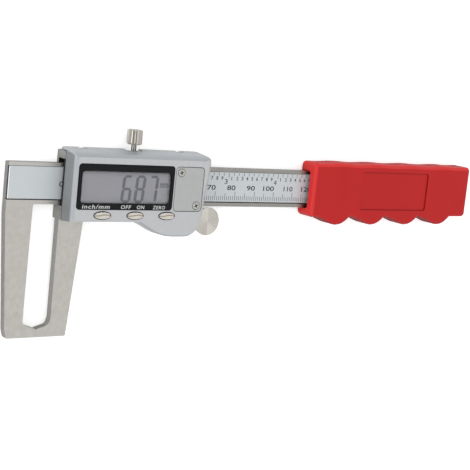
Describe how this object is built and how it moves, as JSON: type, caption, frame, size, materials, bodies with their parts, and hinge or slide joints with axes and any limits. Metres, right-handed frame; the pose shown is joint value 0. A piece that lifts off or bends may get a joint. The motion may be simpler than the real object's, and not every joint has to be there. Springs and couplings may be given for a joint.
{
  "type": "digital brake disc micrometer",
  "caption": "Flat steel slide gauge with long hooked jaws for measuring brake disc thickness, a digital display slider with a thumb roller and lock screw, and a finger-grooved grip.",
  "frame": {"origin": "middle of the tool's outline in X and Y, on the plane of its back, where the grip's back and the slider frame's back rest", "axes": "+X along the beam from the jaws to the grip, +Y from the jaw tips up to the lock screw, +Z out of the display"},
  "size_m": [0.234, 0.0822, 0.0156],
  "materials": {
    "brushed_steel": "brushed",
    "scale_label": "satin",
    "red_plastic": "satin",
    "satin_silver": "satin",
    "bezel_black": "gloss",
    "clear_plastic": "clear",
    "display_glass": "gloss",
    "grey_rubber": "matte",
    "circuit_board": "satin",
    "key_champagne": "satin",
    "battery_lid": "satin",
    "cell_nickel": "bright",
    "contact_brass": "satin",
    "gib_bronze": "satin",
    "bright_steel": "bright",
    "turned_steel": "turned",
    "black_steel": "satin"
  },
  "bodies": {
    "beam": {"beam_with_fixed_jaw": "brushed_steel", "scale_strip": "scale_label", "handle_grip": "red_plastic", "handle_set_screw": "black_steel"},
    "slider": {"slider_frame": "brushed_steel", "housing_cover": "satin_silver", "housing_screw_1": "black_steel", "housing_screw_2": "black_steel", "housing_screw_3": "black_steel", "housing_screw_4": "black_steel", "gib_strip": "gib_bronze", "gib_set_screw_left": "black_steel", "gib_set_screw_right": "black_steel", "sensor_plate": "circuit_board", "circuit_board": "circuit_board", "board_screw_1": "black_steel", "board_screw_2": "black_steel", "lcd_connector_upper": "grey_rubber", "lcd_connector_lower": "grey_rubber", "lcd_panel": "display_glass", "display_lens": "clear_plastic", "display_bezel": "bezel_black", "button_pad": "grey_rubber", "coin_cell": "cell_nickel", "battery_contact_negative": "contact_brass", "battery_contact_positive": "contact_brass", "battery_cover": "battery_lid", "battery_cover_screw_1": "bright_steel", "battery_cover_screw_2": "bright_steel", "roller_axle": "black_steel"},
    "thumb_roller": {"thumb_roller": "turned_steel"},
    "lock_screw": {"lock_screw": "bright_steel"},
    "button_unit": {"button_unit": "key_champagne"},
    "button_power": {"button_power": "key_champagne"},
    "button_zero": {"button_zero": "key_champagne"}
  },
  "joints": [
    {"name": "slider_slide", "type": "slide", "parent": "beam", "child": "slider", "axis": [1, 0, 0], "range_m": [0, 0.044]},
    {"name": "roller_spin", "type": "hinge", "parent": "slider", "child": "thumb_roller", "pos_m": [-0.02672, 0.00475, 0.0057], "axis": [0, 0, 1], "range_deg": [-5, 435]},
    {"name": "lock_screw_turn", "type": "hinge", "parent": "slider", "child": "lock_screw", "pos_m": [-0.06392, 0.03295, 0.0048], "axis": [0, 1, 0], "range_deg": [-180, 180]},
    {"name": "unit_press", "type": "slide", "parent": "slider", "child": "button_unit", "axis": [0, 0, -1], "range_m": [0, 0.0005], "stiffness_N_per_m": 400},
    {"name": "power_press", "type": "slide", "parent": "slider", "child": "button_power", "axis": [0, 0, -1], "range_m": [0, 0.0005], "stiffness_N_per_m": 400},
    {"name": "zero_press", "type": "slide", "parent": "slider", "child": "button_zero", "axis": [0, 0, -1], "range_m": [0, 0.0005], "stiffness_N_per_m": 400}
  ],
  "couplings": [
    {"joint": "roller_spin", "follows": "slider_slide", "rad_per_m": 169.49}
  ]
}
